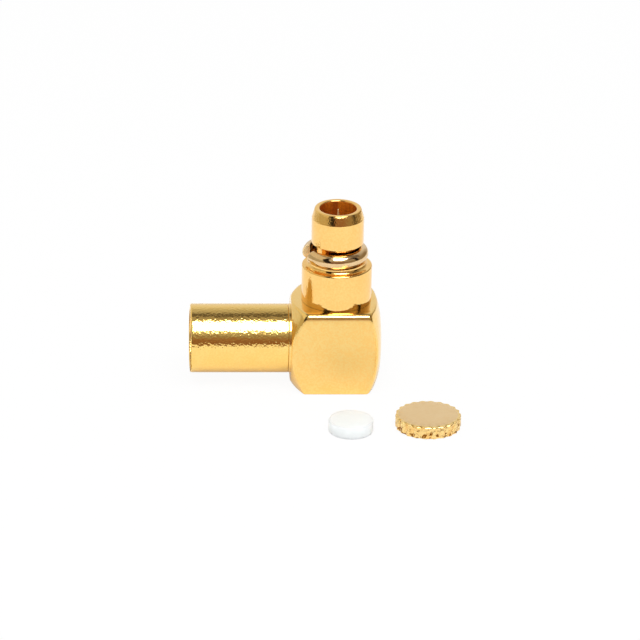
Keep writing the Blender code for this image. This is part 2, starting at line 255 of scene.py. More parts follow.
# Plating of all metal pieces but the cap
SLOW_TONE_GRAIN, SLOW_TONE = 1.8, (0.1, 0.9)
FINE_TONE_GRAIN, FINE_TONE = 13.0, (-0.8, 0.8)
GLOSS_GRAIN, GLOSS_LOW, GLOSS_HIGH = 5.0, 0.8, 1.25
WAVE_GRAIN, WAVE_DEPTH = 2.2, 0.001

# Painted shade down the bore of the outer contact, the streaks of painted reflection on it, and its turned
# taper
BORE_SIDE = (MOUTH_RADIUS + 0.01, MOUTH_RADIUS + 0.02)
BORE_TOP = (TIP_Z - 0.05, TIP_Z - 0.02)
STREAK_STRETCH, STREAK_GRAIN, STREAK_LEVELS = (1.0, 1.0, 0.15), 3.0, (0.42, 0.66)
BORE_METALLIC, BORE_ROUGHNESS = 0.35, 0.38
TURNED_GRAIN, TURNED_DEPTH, TURNED_SOFTNESS = 15.0, 0.010, 0.01

# Drawn flats of the block, sawn ends of the ring and dullness of the centre contact
FLAT_EDGE = (BLOCK_WIDTH / 2 - 0.03, BLOCK_WIDTH / 2 - 0.005)
FLAT_ROUGHNESS = 0.38
SAWN_OUT = (0.0, 0.1)
SAWN_ACROSS = (RING_GAP_WIDTH / 2 + 0.015, RING_GAP_WIDTH / 2 + 0.035)
SAWN_METALLIC, SAWN_ROUGHNESS = 0.5, 0.5
PIN_METALLIC = 0.60

# Plating of the cap
CAP_TONE_GRAIN, CAP_GLOSS_GRAIN = 1.4, 6.0
CAP_TOP_ROUGHNESS, CAP_SIDE_ROUGHNESS = (0.32, 0.42), 0.22
CAP_RIM_EDGE = (CAP_TOP_RADIUS - 0.055, CAP_TOP_RADIUS - 0.03)
CAP_SIDE_EDGE = (CAP_TOP_RADIUS - 0.01, CAP_TOP_RADIUS + 0.015)
CAP_LIP_EDGE = (CAP_THICKNESS - 0.07, CAP_THICKNESS - 0.04)
# Painted shade on the cap's side: darker bands down the teeth, and dark pits that thin out higher up
CAP_RIB_STRETCH, CAP_RIB_GRAIN, CAP_RIB_LEVELS = (1.0, 1.0, 0.4), 4.0, (0.44, 0.60)
CAP_PIT_GRAIN, CAP_PIT_LEVELS = 5.5, (0.55, 0.60)
CAP_PIT_HEIGHTS, CAP_PIT_UPPER_SHARE = (0.26, 0.48), 0.15
CAP_FINE_GRAIN, CAP_FINE_DEPTH = 12.0, 0.004
CAP_ROUGH_GRAIN, CAP_ROUGH_DEPTH = 8.0, 0.05

# White plastic, and the painted shade round the upper rim of the loose disc
MILK_TONE_GRAIN, MILK_GLOSS_GRAIN, MILK_GRAIN = 2.5, 9.0, 14.0
MILK_ROUGHNESS, MILK_GRAIN_DEPTH = (0.38, 0.55), 0.0015
MILK_SCATTER_REACH, MILK_SCATTER_WEIGHT = 0.4, 0.9
DISC_RIM_INNER, DISC_RIM_OUTER = DISC_RADIUS - 0.085, DISC_RADIUS + 0.05
DISC_RIM_SOFTNESS = 0.02
DISC_RIM_HEIGHTS = (DISC_THICKNESS - 0.08, DISC_THICKNESS - 0.04)

# Table top, with how far its tone is lifted to white where it is seen and where it is mirrored
FLOOR_RADIUS = 62.0
FLOOR_STEPS = 128
FLOOR_WHITE = 0.95
SEEN_LIFT, MIRRORED_LIFT = 0.94, 0.25

# Softbox, whose edges are shares of its height, and the light from above
SOFTBOX_HEIGHT = 300.0
SOFTBOX_LEFT, SOFTBOX_RIGHT = -0.13, 0.55
SOFTBOX_FRONT, SOFTBOX_BACK = -0.95, -0.19
SOFTBOX_RADIANCE = 8.0
TOP_LIGHT_PLACE = (20.0, -150.0, 260.0)
TOP_LIGHT_SIZE = (260.0, 200.0)
TOP_LIGHT_RADIANCE = 3.8

# Painted shadow: a glowing brown sheet lying on the table beyond the ferrule, where the plug's shadow
# falls, which only the metal's reflections see
PAINTED_SHADOW_CORNERS = ((-7.0, -1.45), (-13.6, -1.6), (-12.6, 5.8), (-7.0, 2.7))
PAINTED_SHADOW_HEIGHT = 0.01
PAINTED_SHADOW_BROWN = (0.44, 0.30, 0.085)

# Studio walls as the plug mirrors them: angle over the top from the front horizon, and colour
WALLS = (
    (-20, (0.60, 0.56, 0.48)),
    (-4, (0.36, 0.24, 0.15)),
    (3, (0.28, 0.16, 0.10)),
    (10, (0.25, 0.13, 0.075)),
    (17, (0.34, 0.19, 0.11)),
    (26, (0.30, 0.25, 0.18)),
    (36, (0.50, 0.48, 0.42)),
    (43, (0.65, 0.62, 0.55)),
    (84, (0.45, 0.42, 0.37)),
    (96, (0.35, 0.315, 0.28)),
    (103, (0.09, 0.075, 0.06)),
    (109, (0.15, 0.132, 0.115)),
    (118, (0.43, 0.41, 0.38)),
    (137, (0.62, 0.61, 0.58)),
    (150, (0.80, 0.79, 0.77)),
    (180, (0.86, 0.85, 0.83)),
)
# Walls to the left and right low down, and the ceiling to the left and right. Their masks go by the
# parts of a direction to the right, to the front and upwards.
LEFT_WALL, RIGHT_WALL = (0.53, 0.48, 0.34), (0.31, 0.25, 0.16)
SIDE_WALL_ASIDE, SIDE_WALL_HEIGHTS = (0.40, 0.75), (0.35, 0.60)
LEFT_BACK_FRONT, LEFT_BACK_ASIDE, LEFT_BACK_SHARE = (-0.50, -0.15), (-0.40, 0.0), 0.75
LEFT_CEILING, RIGHT_CEILING = (0.80, 0.73, 0.56), (0.24, 0.20, 0.165)
LEFT_CEILING_ASIDE, LEFT_CEILING_HEIGHTS = (-0.38, -0.26), (0.42, 0.55)
RIGHT_CEILING_ASIDE, RIGHT_CEILING_FRONT = (0.50, 0.60), (-0.15, 0.0)
RIGHT_CEILING_FOOT, RIGHT_CEILING_HEAD, RIGHT_CEILING_SOFTNESS = 0.52, 0.88, 0.05
# Dark uprights in front and to the right: heading at the horizon from straight ahead, half width,
# lowest and highest elevation, and turn of the heading with the height of direction
DARK_STANDS = ((-23.0, 13.0, 3.0, 76.0, -25.0), (79.5, 7.0, 0.0, 50.0, 0.0))
DARK_STAND = (0.02, 0.017, 0.015)
STAND_SIDE_SOFTNESS, STAND_END_SOFTNESS = math.radians(1.5), 0.03
NEUTRAL_FILL = 0.61

low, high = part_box("outer_contact")
AXIS = Vector(((low.x + high.x) / 2, (low.y + high.y) / 2, 0.0))


# Shapes

def fillet(corners, closed=False, steps=FILLET_STEPS):
    """Polyline through corners (across, along, radius), with an arc where the radius isn't zero."""
    points = []
    count = len(corners)
    for i, (across, along, radius) in enumerate(corners):
        corner = Vector((across, along))
        if radius == 0.0 or (not closed and i in (0, count - 1)):
            points.append(corner)
            continue
        back = Vector(corners[i - 1][:2]) - corner
        ahead = Vector(corners[(i + 1) % count][:2]) - corner
        half = back.angle(ahead) / 2
        reach = min(radius / math.tan(half), FILLET_SHARE * back.length, FILLET_SHARE * ahead.length)
        size = reach * math.tan(half)
        bisector = (back.normalized() + ahead.normalized()).normalized()
        centre = corner + bisector * (size / math.sin(half))
        first = corner + back.normalized() * reach - centre
        last = corner + ahead.normalized() * reach - centre
        sweep = first.angle_signed(last)
        for k in range(steps + 1):
            turn = Matrix.Rotation(-sweep * k / steps, 2)
            points.append(centre + turn @ first)
    return points


def skin(loop_count, count, loops_closed=True, points_closed=False):
    """Quads between neighbouring loops that have the same count of points."""
    faces = []
    for j in range(loop_count if loops_closed else loop_count - 1):
        here, there = j * count, (j + 1) % loop_count * count
        for i in range(count if points_closed else count - 1):
            n = (i + 1) % count
            faces.append((here + i, here + n, there + n, there + i))
    return faces


def new_piece(name, verts, faces):
    """Mesh piece from millimetre points about the plug's axis, closed and facing outwards."""
    mesh = bpy.data.meshes.new(name)
    mesh.from_pydata([AXIS + Vector(v) * MM for v in verts], [], faces)
    shape = bmesh.new()
    shape.from_mesh(mesh)
    bmesh.ops.remove_doubles(shape, verts=shape.verts, dist=WELD_DISTANCE)
    bmesh.ops.recalc_face_normals(shape, faces=shape.faces)
    shape.to_mesh(mesh)
    shape.free()
    piece = bpy.data.objects.new(name, mesh)
    bpy.context.scene.collection.objects.link(piece)
    return piece


def revolve(name, profile, place=(0.0, 0.0), along_cable=False, closed=False, steps=ROUND_STEPS):
    """Spin a (radius, height) profile about the plug's axis, or about the cable's with heights to -X."""
    verts = []
    for j in range(steps):
        angle = 2 * math.pi * j / steps
        for radius, height in profile:
            across, up = radius * math.cos(angle), radius * math.sin(angle)
            if along_cable:
                verts.append((-height, across, BLOCK_WIDTH / 2 + up))
            else:
                verts.append((place[0] + across, place[1] + up, height))
    return new_piece(name, verts, skin(steps, len(profile), points_closed=closed))


def cut(piece, tool):
    """Take a tool's shape out of a piece and drop the tool."""
    boolean = piece.modifiers.new("cut", "BOOLEAN")
    boolean.operation = "DIFFERENCE"
    boolean.object = tool
    bpy.context.view_layer.update()
    state = bpy.context.evaluated_depsgraph_get()
    old = piece.data
    piece.data = bpy.data.meshes.new_from_object(piece.evaluated_get(state))
    piece.modifiers.clear()
    piece.data.name = piece.name
    bpy.data.meshes.remove(old)
    bpy.data.objects.remove(tool)


def finish_piece(piece, material, node, body):
    """Shade a piece, give it its material and put it in the place of a CAD node."""
    piece.data.shade_smooth()
    piece.data.set_sharp_from_angle(angle=SHARP_ANGLE)
    weighted = piece.modifiers.new("flat_faces_stay_flat", "WEIGHTED_NORMAL")
    weighted.keep_sharp = True
    piece.data.materials.clear()
    piece.data.materials.append(material)
    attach(piece, body)
    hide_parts(node)


def eased_edge(tight, eased):
    """Steps round a tumbled edge, tight in its middle and easing into the flats on both sides."""
    place = Vector((0.0, 0.0))
    points = [place.copy()]
    for k in range(BAR_EDGE_STEPS):
        angle = math.pi / 2 * (k + 0.5) / BAR_EDGE_STEPS
        radius = tight + (eased - tight) * abs(math.cos(2 * angle))
        place += Vector((-math.sin(angle), math.cos(angle))) * (radius * math.pi / 2 / BAR_EDGE_STEPS)
        points.append(place.copy())
    return points


def bar_outline():
    """Points (y, z) round the square bar, with its long edges rounded, the two on the table less."""
    half = BLOCK_WIDTH / 2
    top_edge = eased_edge(EDGE_TIGHT_RADIUS, EDGE_EASED_RADIUS)
    foot_edge = eased_edge(FOOT_EDGE_RADIUS, FOOT_EDGE_RADIUS)
    edges = (top_edge, top_edge, foot_edge, foot_edge)
    points = []
    for quarter, edge in enumerate(edges):
        first = edges[quarter - 1][-1].y - half
        last = half - edge[-1].y
        turn = Matrix.Rotation(quarter * math.pi / 2, 2)
        for k in range(BAR_SIDE_STEPS):
            points.append(turn @ Vector((half, first + (last - first) * k / BAR_SIDE_STEPS)))
        for step in edge[:-1]:
            points.append(turn @ (Vector((half, last)) + step))
    return points


def crown(radius):
    """How far the crowned end has fallen back at a distance from the bar's axis."""
    corner = BLOCK_WIDTH / 2 * math.sqrt(2.0)
    return -BLOCK_LENGTH / 2 + CROWN_HEIGHT * (radius / corner) ** CROWN_POWER


def block_section(reach, corner_round):
    """Profile of block, flange and stem in a half plane where the bar's side is at this reach."""
    half = BLOCK_LENGTH / 2
    root = half + FLANGE_LENGTH
    tip = root + STEM_LENGTH
    cornerness = (reach - BLOCK_WIDTH / 2) / (BLOCK_WIDTH / 2 * (math.sqrt(2.0) - 1.0))
    entry_round = TURNED_EDGE_ROUND + (corner_round - TURNED_EDGE_ROUND) * cornerness
    inner = reach - CROWN_EDGE_REACH
    radii = [inner * i / CROWN_RINGS for i in range(CROWN_RINGS + 1)]
    corners = [(radius, crown(radius), 0.0) for radius in radii]
    corners += [(reach, crown(reach), CROWN_EDGE_ROUND)]
    corners += [(reach, half - (reach - ENTRY_FACE_RADIUS) * ENTRY_CHAMFER_SLOPE, entry_round)]
    corners += [(ENTRY_FACE_RADIUS, half, TURNED_EDGE_ROUND), (FLANGE_RADIUS, half, 0.0)]
    corners += [(FLANGE_RADIUS, root, SMALL_ROUND), (PILOT_RADIUS, root, 0.0)]
    corners += [(PILOT_RADIUS, root + PILOT_LENGTH, SMALL_ROUND)]
    valley = STEM_RADIUS - STEM_GROOVE_DEPTH
    corners += [(valley, root + PILOT_LENGTH, 0.0)]
    for i in reversed(range(STEM_GROOVE_COUNT)):
        crest = tip - STEM_GROOVE_PITCH * (i + 0.5)
        corners += [(valley, crest - STEM_GROOVE_PITCH / 2, SMALL_ROUND), (STEM_RADIUS, crest, SMALL_ROUND)]
    corners += [(valley, tip, SMALL_ROUND), (0.0, tip, 0.0)]
    return fillet(corners)


def build_block():
    """Square bar with both ends turned, the stem on its cable end, and its hollows cut."""
    outline = bar_outline()
    verts = []
    for point in outline:
        away = point.normalized()
        section = block_section(point.length, ENTRY_CORNER_ROUND if point.y > 0 else FOOT_CORNER_ROUND)
        for radius, height in section:
            verts.append((-height, away.x * radius, BLOCK_WIDTH / 2 + away.y * radius))
    block = new_piece("block", verts, skin(len(outline), len(section)))
    top = BLOCK_WIDTH + CUT_OVERRUN
    hollow = [(0.0, top), (CONTACT_SEAT_RADIUS, top), (CONTACT_SEAT_RADIUS, CONTACT_SEAT_Z)]
    hollow += [(CHAMBER_RADIUS, CONTACT_SEAT_Z), (CHAMBER_RADIUS, DISC_SEAT_DEPTH)]
    hollow += [(DISC_SEAT_RADIUS, DISC_SEAT_DEPTH), (DISC_SEAT_RADIUS, CAP_SEAT_DEPTH)]
    hollow += [(CAP_SEAT_RADIUS, CAP_SEAT_DEPTH), (CAP_SEAT_RADIUS, CAP_SEAT_CHAMFER)]
    hollow += [(CAP_SEAT_RADIUS + CAP_SEAT_CHAMFER + CUT_OVERRUN, -CUT_OVERRUN), (0.0, -CUT_OVERRUN)]
    cut(block, revolve("hollow", hollow))
    end = BLOCK_LENGTH / 2 + FLANGE_LENGTH + STEM_LENGTH + CUT_OVERRUN
    bore = [(0.0, end), (CABLE_BORE_RADIUS, end), (CABLE_BORE_RADIUS, 0.0), (0.0, 0.0)]
    cut(block, revolve("bore", bore, along_cable=True))
    return block


def build_contact():
    """Turned sleeve with tapered nose, ring groove, collar, shoulder and the spigot in the block."""
    corners = [(MOUTH_RADIUS, TIP_Z, MOUTH_EDGE_ROUND), (RIM_RADIUS, TIP_Z, RIM_EDGE_ROUND)]
    corners += [(NOSE_RADIUS, TIP_Z - RIM_TAPER_LENGTH, SMALL_ROUND), (NOSE_RADIUS, NOSE_Z, SMALL_ROUND)]
    corners += [(GROOVE_RADIUS, NOSE_Z, 0.0), (GROOVE_RADIUS, COLLAR_Z, 0.0)]
    corners += [(COLLAR_RADIUS, COLLAR_Z, SMALL_ROUND)]
    for k in range(COLLAR_COVE_STEPS + 1):
        angle = math.pi / 2 * k / COLLAR_COVE_STEPS
        corners.append((COLLAR_RADIUS + COLLAR_COVE * (1 - math.cos(angle)),
                        SHOULDER_Z + COLLAR_COVE * (1 - math.sin(angle)), 0.0))
    corners += [(SHOULDER_RADIUS, SHOULDER_Z, SHOULDER_ROUND), (SHOULDER_RADIUS, SHOULDER_FOOT_Z, 0.0)]
    corners += [(SPIGOT_RADIUS, SHOULDER_FOOT_Z, 0.0), (SPIGOT_RADIUS, SPIGOT_Z, SMALL_ROUND)]
    seat_z = SPIGOT_Z + FLANGE_SEAT_DEPTH
    corners += [(FLANGE_SEAT_RADIUS, SPIGOT_Z, 0.0), (FLANGE_SEAT_RADIUS, seat_z, 0.0)]
    corners += [(MOUTH_RADIUS, seat_z, 0.0)]
    return revolve("outer_sleeve", fillet(corners, closed=True), closed=True)


def build_bush():
    """Insulating bush with the flange that seats it in the outer contact."""
    flange_top = SPIGOT_Z + FLANGE_SEAT_DEPTH - FIT
    neck = BUSH_TOP_Z - BUSH_NECK_LENGTH
    corners = [(PIN_RADIUS + FIT, BUSH_TOP_Z, SMALL_ROUND), (MOUTH_RADIUS - FIT, BUSH_TOP_Z, SMALL_ROUND)]
    corners += [(MOUTH_RADIUS - FIT, flange_top, 0.0), (FLANGE_SEAT_RADIUS - FIT, flange_top, FINE_ROUND)]
    corners += [(FLANGE_SEAT_RADIUS - FIT, SPIGOT_Z, FINE_ROUND), (CORE_RADIUS + FIT, SPIGOT_Z, FINE_ROUND)]
    corners += [(CORE_RADIUS + FIT, neck, 0.0), (PIN_RADIUS + FIT, neck, 0.0)]
    return revolve("bush", fillet(corners, closed=True), closed=True, steps=BUSH_STEPS)


def build_pin():
    """Centre contact with its needle tip, core and slotted solder post."""
    core_top = BUSH_TOP_Z - BUSH_NECK_LENGTH - FIT
    post_top = SPIGOT_Z - FIT
    post_foot = SPIGOT_Z - POST_LENGTH
    corners = [(0.0, PIN_TIP_Z, 0.0), (PIN_TIP_RADIUS, PIN_TIP_Z, PIN_TIP_ROUND)]
    corners += [(PIN_NEEDLE_RADIUS, PIN_TIP_Z - PIN_NEEDLE_LENGTH, PIN_NEEDLE_ROUND)]
    corners += [(PIN_RADIUS, PIN_TIP_Z - PIN_TIP_LENGTH, PIN_SHANK_ROUND), (PIN_RADIUS, core_top, 0.0)]
    corners += [(CORE_RADIUS, core_top, FINE_ROUND), (CORE_RADIUS, post_top, 0.0)]
    corners += [(POST_RADIUS, post_top, FINE_ROUND), (POST_RADIUS, post_foot, SMALL_ROUND)]
    corners += [(0.0, post_foot, 0.0)]
    pin = revolve("pin", fillet(corners), steps=PIN_STEPS)
    along, across = POST_RADIUS + CUT_OVERRUN, SLOT_WIDTH / 2
    levels = (post_foot - CUT_OVERRUN, SLOT_ROOT_Z)
    verts = [(x, y, z) for z in levels for y in (-across, across) for x in (-along, along)]
    faces = [(0, 1, 3, 2), (4, 5, 7, 6), (0, 1, 5, 4), (2, 3, 7, 6), (0, 2, 6, 4), (1, 3, 7, 5)]
    cut(pin, new_piece("slot", verts, faces))
    return pin


def wire_section():
    """Half-round section of the ring's wire, with its flat side at zero."""
    section = []
    for k in range(RING_WIRE_STEPS + 1):
        angle = math.radians(2 * RING_WIRE_HALF_SWEEP * k / RING_WIRE_STEPS - RING_WIRE_HALF_SWEEP)
        section.append((RING_WIRE_RADIUS * math.cos(angle), RING_WIRE_RADIUS * math.sin(angle), 0.0))
    section += [(0.0, RING_WIRE_RADIUS, RING_CORNER), (0.0, -RING_WIRE_RADIUS, RING_CORNER)]
    return fillet(section, closed=True)


def ring_point(offset, angle):
    """Point of the snap ring at an offset of its section and an angle round its axis."""
    radius = RING_INNER_RADIUS + offset.x
    return RING_X + radius * math.cos(angle), radius * math.sin(angle), RING_Z + offset.y


def end_loop(section, side, skew, setback=RING_END_ROUND, inset=0.0):
    """Section near one end of the ring, turned by its skew from square to parallel with the gap."""
    middle = Vector((RING_WIRE_MIDDLE * RING_WIRE_RADIUS, 0.0))
    loop = []
    for point in section:
        pulled = point + (middle - point).normalized() * inset
        radius = RING_INNER_RADIUS + pulled.x
        end = math.asin(RING_GAP_WIDTH / 2 / radius) + setback / radius
        angle = RING_GAP_HEADING + side * (RING_END_SWEEP + (end - RING_END_SWEEP) * skew)
        loop.append(ring_point(pulled, angle))
    return loop


def build_ring():
    """Half-round wire bent round the groove, with its sawn ends parallel."""
    section = wire_section()
    rounds = []
    for k in range(RING_END_STEPS + 1):
        quarter = math.pi / 2 * k / RING_END_STEPS
        rounds.append((RING_END_ROUND * (1 - math.sin(quarter)), RING_END_ROUND * (1 - math.cos(quarter))))
    loops = [end_loop(section, 1, 1.0, setback, inset) for setback, inset in reversed(rounds)]
    loops += [end_loop(section, 1, skew) for skew in reversed(RING_SKEW_SHARES)]
    for k in range(RING_ARCS + 1):
        angle = RING_GAP_HEADING + RING_END_SWEEP + (2 * math.pi - 2 * RING_END_SWEEP) * k / RING_ARCS
        loops.append([ring_point(point, angle) for point in section])
    loops += [end_loop(section, -1, skew) for skew in RING_SKEW_SHARES]
    loops += [end_loop(section, -1, 1.0, setback, inset) for setback, inset in rounds]
    count = len(section)
    faces = skin(len(loops), count, loops_closed=False, points_closed=True)
    faces.append(tuple(range(count)))
    faces.append(tuple((len(loops) - 1) * count + i for i in range(count)))
    return new_piece("spring_ring", [point for loop in loops for point in loop], faces)


def peel(place):
    """How far a satin surface lies below its nominal one, in millimetres."""
    coarse = PEEL_COARSE_SHARE * noise.noise(place * PEEL_SCALE)
    fine = PEEL_FINE_SHARE * noise.noise(place * PEEL_SCALE * PEEL_FINE_RATIO + PEEL_FINE_SHIFT)
    return PEEL_DEPTH * (1.0 - max(-1.0, min(1.0, coarse + fine)))


def build_ferrule():
    """Sleeve whose outside has the fine unevenness of satin plating in its mesh."""
    corners = [(FERRULE_BORE, FERRULE_END, FERRULE_INNER_ROUND)]
    corners += [(FERRULE_RADIUS, FERRULE_END, FERRULE_OUTER_ROUND)]
    rows = round((PEEL_FIRST - PEEL_LAST) / PEEL_STEP)
    for i in range(rows + 1):
        corners.append((FERRULE_RADIUS, PEEL_FIRST - (PEEL_FIRST - PEEL_LAST) * i / rows, 0.0))
    corners += [(FERRULE_RADIUS, FERRULE_START, FERRULE_START_ROUND), (FERRULE_BORE, FERRULE_START, 0.0)]
    profile = fillet(corners, closed=True, steps=FERRULE_ROUND_STEPS)
    sleeve = revolve("sleeve", profile, along_cable=True, closed=True, steps=PEEL_AROUND)
    cable = Vector((0.0, 0.0, BLOCK_WIDTH / 2))
    for vertex in sleeve.data.vertices:
        place = (vertex.co - AXIS) / MM - cable
        away = Vector((0.0, place.y, place.z))
        if away.length > FERRULE_RADIUS - PEEL_REACH:
            vertex.co -= away.normalized() * peel(place) * MM
    return sleeve


def build_disc():
    """Plain insulator disc lying on the table."""
    corners = [(0.0, 0.0, 0.0), (DISC_RADIUS, 0.0, SMALL_ROUND)]
    corners += [(DISC_RADIUS, DISC_THICKNESS, DISC_EDGE_ROUND), (0.0, DISC_THICKNESS, 0.0)]
    return revolve("white_disc", fillet(corners), place=DISC_PLACE)


def cap_section(angle):
    """Profile of the cap in the half plane at an angle, from the middle of its foot to that of its top."""
    tooth = 0.5 - 0.5 * math.cos(CAP_TEETH * angle)
    side = CAP_CREST_RADIUS - CAP_KNURL_DEPTH * tooth ** CAP_KNURL_POWER
    foot_ring, top_ring = CAP_INNER_RINGS
    section = [(0.0, 0.0), (foot_ring, 0.0), (side - CAP_FOOT_INSET, 0.0)]
    for k in range(CAP_SIDE_ROWS + 1):
        height = CAP_FOOT_Z + CAP_SIDE_HEIGHT * (k / CAP_SIDE_ROWS)
        x, y = math.cos(angle) * side, math.sin(angle) * side
        place = Vector((x * DENT_AROUND, y * DENT_AROUND, height * DENT_UP))
        dent = max(0.0, noise.noise(place)) * DENT_DEPTH
        dent += max(0.0, noise.noise(place * DENT_FINE_RATIO)) * DENT_FINE_DEPTH
        section.append((side - dent, height))
    lip = CAP_TOP_RADIUS + CAP_LIP_INSET + CAP_LIP_WIDTH * (1.0 - tooth)
    section += [(side - CAP_EDGE_INSET, CAP_THICKNESS - CAP_EDGE_FALL), (lip, CAP_THICKNESS - CAP_LIP_FALL)]
    section += [(CAP_TOP_RADIUS, CAP_THICKNESS), (top_ring, CAP_THICKNESS), (0.0, CAP_THICKNESS)]
    return section


def build_cap():
    """Cap with rolled teeth round its side and a plain top."""
    steps = CAP_TEETH * CAP_TOOTH_STEPS
    verts = []
    for j in range(steps):
        angle = 2 * math.pi * j / steps
        section = cap_section(angle)
        for radius, height in section:
            x = CAP_PLACE[0] + radius * math.cos(angle)
            y = CAP_PLACE[1] + radius * math.sin(angle)
            verts.append((x, y, height))
    return new_piece("knurled_cap", verts, skin(steps, len(section)))


# Materials

def add_node(tree, kind, operation=None):
    made = tree.nodes.new(kind)
    if operation:
        made.operation = operation
    return made


def surface(name, metallic):
    """Material with its shader and nothing else but object coordinates in millimetres."""
    material = bpy.data.materials.new(name)
    material.use_nodes = True
    tree = material.node_tree
    tree.nodes["Principled BSDF"].inputs["Metallic"].default_value = metallic
    place = add_node(tree, "ShaderNodeTexCoord")
    scale = add_node(tree, "ShaderNodeMapping")
    scale.inputs["Scale"].default_value = (1 / MM, 1 / MM, 1 / MM)
    tree.links.new(place.outputs["Object"], scale.inputs["Vector"])
    return material


def parts_of(material):
    """Tree, shader and millimetre coordinates of a material that surface made."""
    tree = material.node_tree
    return tree, tree.nodes["Principled BSDF"], tree.nodes["Mapping"].outputs["Vector"]


def noise_field(tree, place, scale, detail=2.0):
    field = add_node(tree, "ShaderNodeTexNoise")
    field.inputs["Scale"].default_value = scale
    field.inputs["Detail"].default_value = detail
    tree.links.new(place, field.inputs["Vector"])
    return field.outputs["Fac"]


def mapped(tree, value, low_out, high_out, low_in=NOISE_LOW, high_in=NOISE_HIGH):
    """Value taken from one range to another and kept within it, by default from a noise field's."""
    ranged = add_node(tree, "ShaderNodeMapRange")
    for socket, number in zip(("From Min", "From Max", "To Min", "To Max"),
                              (low_in, high_in, low_out, high_out)):
        ranged.inputs[socket].default_value = number
    tree.links.new(value, ranged.inputs["Value"])
    return ranged.outputs["Result"]


def rising(tree, value, first, last):
    """Nothing up to a first value, and one from a last value on."""
    return mapped(tree, value, 0.0, 1.0, first, last)


def falling(tree, value, first, last):
    """One up to a first value, and nothing from a last value on."""
    return mapped(tree, value, 1.0, 0.0, first, last)


def arithmetic(tree, operation, first, second=0.0):
    """Math node on two values, either of which may be a plain number."""
    made = add_node(tree, "ShaderNodeMath", operation)
    for socket, value in zip(made.inputs, (first, second)):
        if isinstance(value, (int, float)):
            socket.default_value = value
        else:
            tree.links.new(value, socket)
    return made.outputs[0]


def product(tree, first, second):
    return arithmetic(tree, "MULTIPLY", first, second)


def window(tree, value, first, last, soft):
    """One between two values and nothing outside them, with soft edges."""
    rise = rising(tree, value, first - soft, first + soft)
    drop = falling(tree, value, last - soft, last + soft)
    return product(tree, rise, drop)


def vector_arithmetic(tree, operation, vector, numbers):
    """Vector Math node on a vector and three plain numbers."""
    made = add_node(tree, "ShaderNodeVectorMath", operation)
    made.inputs[1].default_value = numbers
    tree.links.new(vector, made.inputs[0])
    return made.outputs["Value" if operation == "DOT_PRODUCT" else "Vector"]


def coordinates(tree, vector):
    parts = add_node(tree, "ShaderNodeSeparateXYZ")
    tree.links.new(vector, parts.inputs[0])
    return parts.outputs[:3]


def reach_from(tree, place, centre):
    """Distance from an upright line through a centre, in millimetres."""
    away = vector_arithmetic(tree, "SUBTRACT", place, centre)
    flat = vector_arithmetic(tree, "MULTIPLY", away, (1.0, 1.0, 0.0))
    reach = add_node(tree, "ShaderNodeVectorMath", "LENGTH")
    tree.links.new(flat, reach.inputs[0])
    return reach.outputs["Value"]


def height_of(tree, place):
    return coordinates(tree, place)[2]


def centre_of(place=(0.0, 0.0)):
    """Point on the table at a place counted from the plug's axis, in the material's coordinates."""
    return AXIS.x / MM + place[0], AXIS.y / MM + place[1], 0.0


def blend_colours(tree, factor, first, second):
    mix = add_node(tree, "ShaderNodeMix")
    mix.data_type = "RGBA"
    mix.inputs[6].default_value = (*first, 1.0)
    mix.inputs[7].default_value = (*second, 1.0)
    tree.links.new(factor, mix.inputs[0])
    return mix.outputs[2]


def remix(tree, socket, factor, value):
    """Blend what feeds a socket, or its plain value, into another value or colour by a factor."""
    mix = add_node(tree, "ShaderNodeMix")
    if isinstance(value, tuple):
        mix.data_type = "RGBA"
        first, second, result = mix.inputs[6], mix.inputs[7], mix.outputs[2]
        second.default_value = (*value, 1.0)
    else:
        mix.data_type = "FLOAT"
        first, second, result = mix.inputs[2], mix.inputs[3], mix.outputs[0]
        second.default_value = value
    if socket.links:
        tree.links.new(socket.links[0].from_socket, first)
    else:
        first.default_value = socket.default_value
    tree.links.new(factor, mix.inputs[0])
    tree.links.new(result, socket)


def bumped(tree, height, depth, below=None):
    """Bump of a depth in millimetres, over an earlier bump if there is one."""
    bump = add_node(tree, "ShaderNodeBump")
    bump.inputs["Strength"].default_value = 1.0
    bump.inputs["Distance"].default_value = depth * MM
    tree.links.new(height, bump.inputs["Height"])
    if below is not None:
        tree.links.new(below, bump.inputs["Normal"])
    return bump.outputs["Normal"]


def plated(name, colour, deep, roughness, grain_depth, grain=10.0):
    """Electroplated metal: two tones, uneven gloss, a fine grain and a slow unevenness."""
    material = surface(name, 1.0)
    tree, shader, place = parts_of(material)
    slow_tone = mapped(tree, noise_field(tree, place, SLOW_TONE_GRAIN, detail=4.0), *SLOW_TONE)
    fine_tone = mapped(tree, noise_field(tree, place, FINE_TONE_GRAIN, detail=1.0), *FINE_TONE)
    tone = arithmetic(tree, "ADD", slow_tone, fine_tone)
    tree.links.new(blend_colours(tree, tone, colour, deep), shader.inputs["Base Color"])
    uneven = noise_field(tree, place, GLOSS_GRAIN, detail=3.0)
    gloss = mapped(tree, uneven, roughness * GLOSS_LOW, roughness * GLOSS_HIGH)
    tree.links.new(gloss, shader.inputs["Roughness"])
    waves = bumped(tree, noise_field(tree, place, WAVE_GRAIN, detail=1.0), WAVE_DEPTH)
    fine = bumped(tree, noise_field(tree, place, grain, detail=1.0), grain_depth, waves)
    tree.links.new(fine, shader.inputs["Normal"])
    return material


